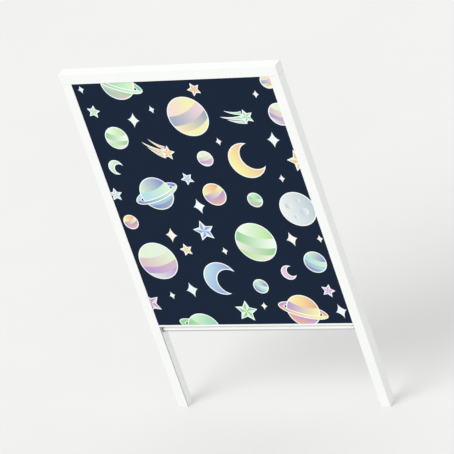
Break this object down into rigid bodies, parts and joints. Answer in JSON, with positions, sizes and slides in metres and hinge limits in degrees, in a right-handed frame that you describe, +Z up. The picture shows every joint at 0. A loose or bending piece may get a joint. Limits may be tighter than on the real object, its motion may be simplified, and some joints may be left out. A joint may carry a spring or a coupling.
{
  "type": "roof window blind with side rails",
  "caption": "Flat printed cloth that leaves a roller in a head casing, runs in two side rails and ends in a pull bar, for a sloping roof window.",
  "frame": {"origin": "middle of the casing's flat top face", "axes": "+Z up the rails towards the casing, -Y towards the room, +X to the right as seen from the room"},
  "size_m": [0.611, 0.028, 0.987],
  "materials": {
    "powder_coat": "white powder coat, satin, on extruded aluminium",
    "white_plastic": "moulded, matt",
    "aluminium_tube": "mill finish",
    "printed_cloth": "matt coated weave with a printed pattern, metallised on the window side",
    "grey_plastic": "moulded, matt"
  },
  "bodies": {
    "root": {"casing": "powder_coat", "casing_end_left": "white_plastic", "casing_end_right": "white_plastic", "roller": "aluminium_tube", "cloth_roll": "printed_cloth", "cloth": "printed_cloth", "rail_left": "powder_coat", "rail_right": "powder_coat", "bar": "powder_coat", "bar_end_left": "grey_plastic", "bar_end_right": "grey_plastic"}
  },
  "joints": []
}
